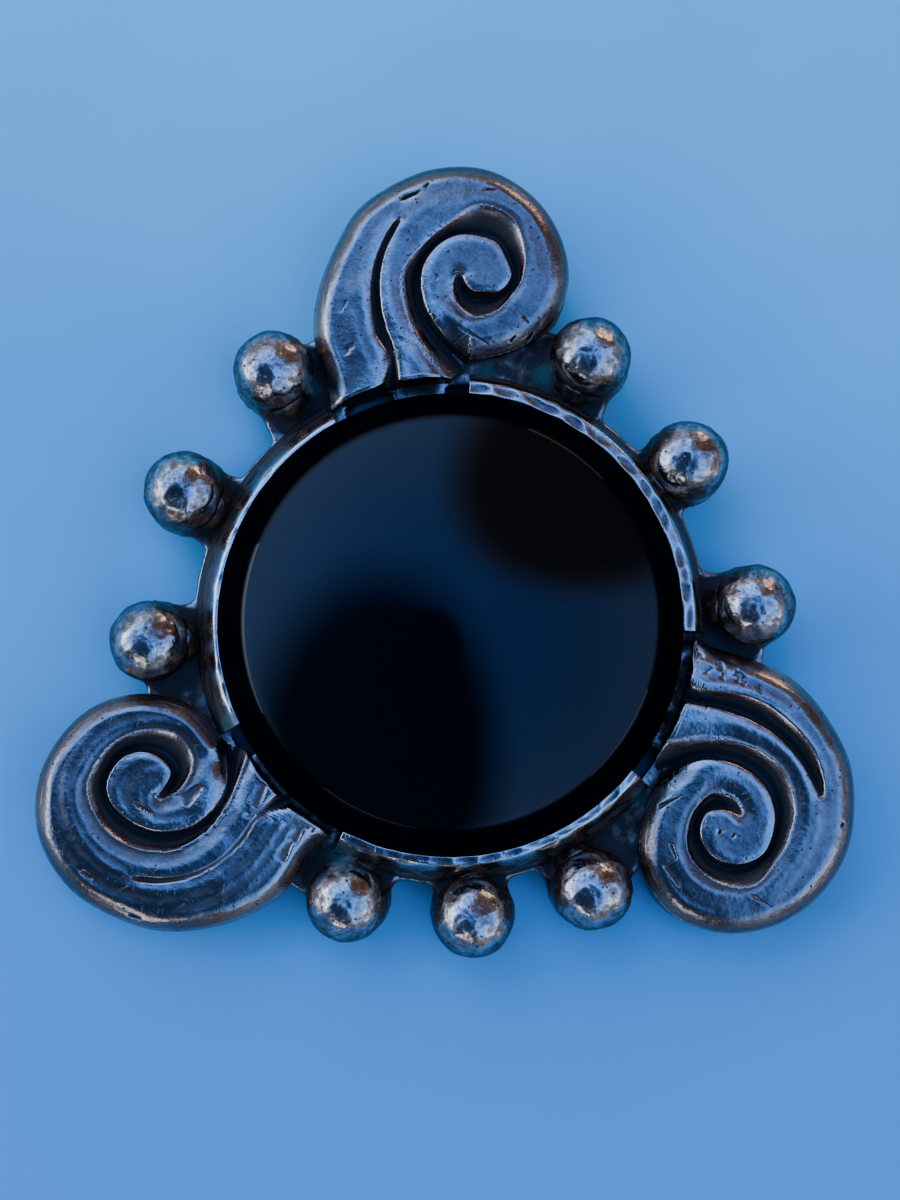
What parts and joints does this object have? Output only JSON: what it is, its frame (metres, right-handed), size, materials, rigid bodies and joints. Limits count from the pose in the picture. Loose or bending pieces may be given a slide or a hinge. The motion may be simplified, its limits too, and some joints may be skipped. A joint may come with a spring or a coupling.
{
  "type": "onyx brooch",
  "caption": "Round domed black stone in a dark silver mount with volute scrolls, bezel strips and balls round it, and a pin across the back for wearing it on cloth.",
  "frame": {"origin": "under the middle of the brooch's bounding box, on the plane that the backs of the three scrolls rest on", "axes": "+Z out of the face of the brooch through the stone's dome, +Y towards the scroll that is at the top in the picture, +X to its right"},
  "size_m": [0.0698, 0.0684, 0.0133],
  "materials": {
    "oxidised_silver": "hammered and filed silver, oxidised dark in the hollows and rubbed bright on the crests",
    "polished_onyx": "polished to a high gloss",
    "pin_silver": "drawn silver wire and filed sheet, slightly tarnished"
  },
  "bodies": {
    "root": {"silver_mount": "oxidised_silver", "onyx_cabochon": "polished_onyx", "brooch_pin": "pin_silver"}
  },
  "joints": []
}
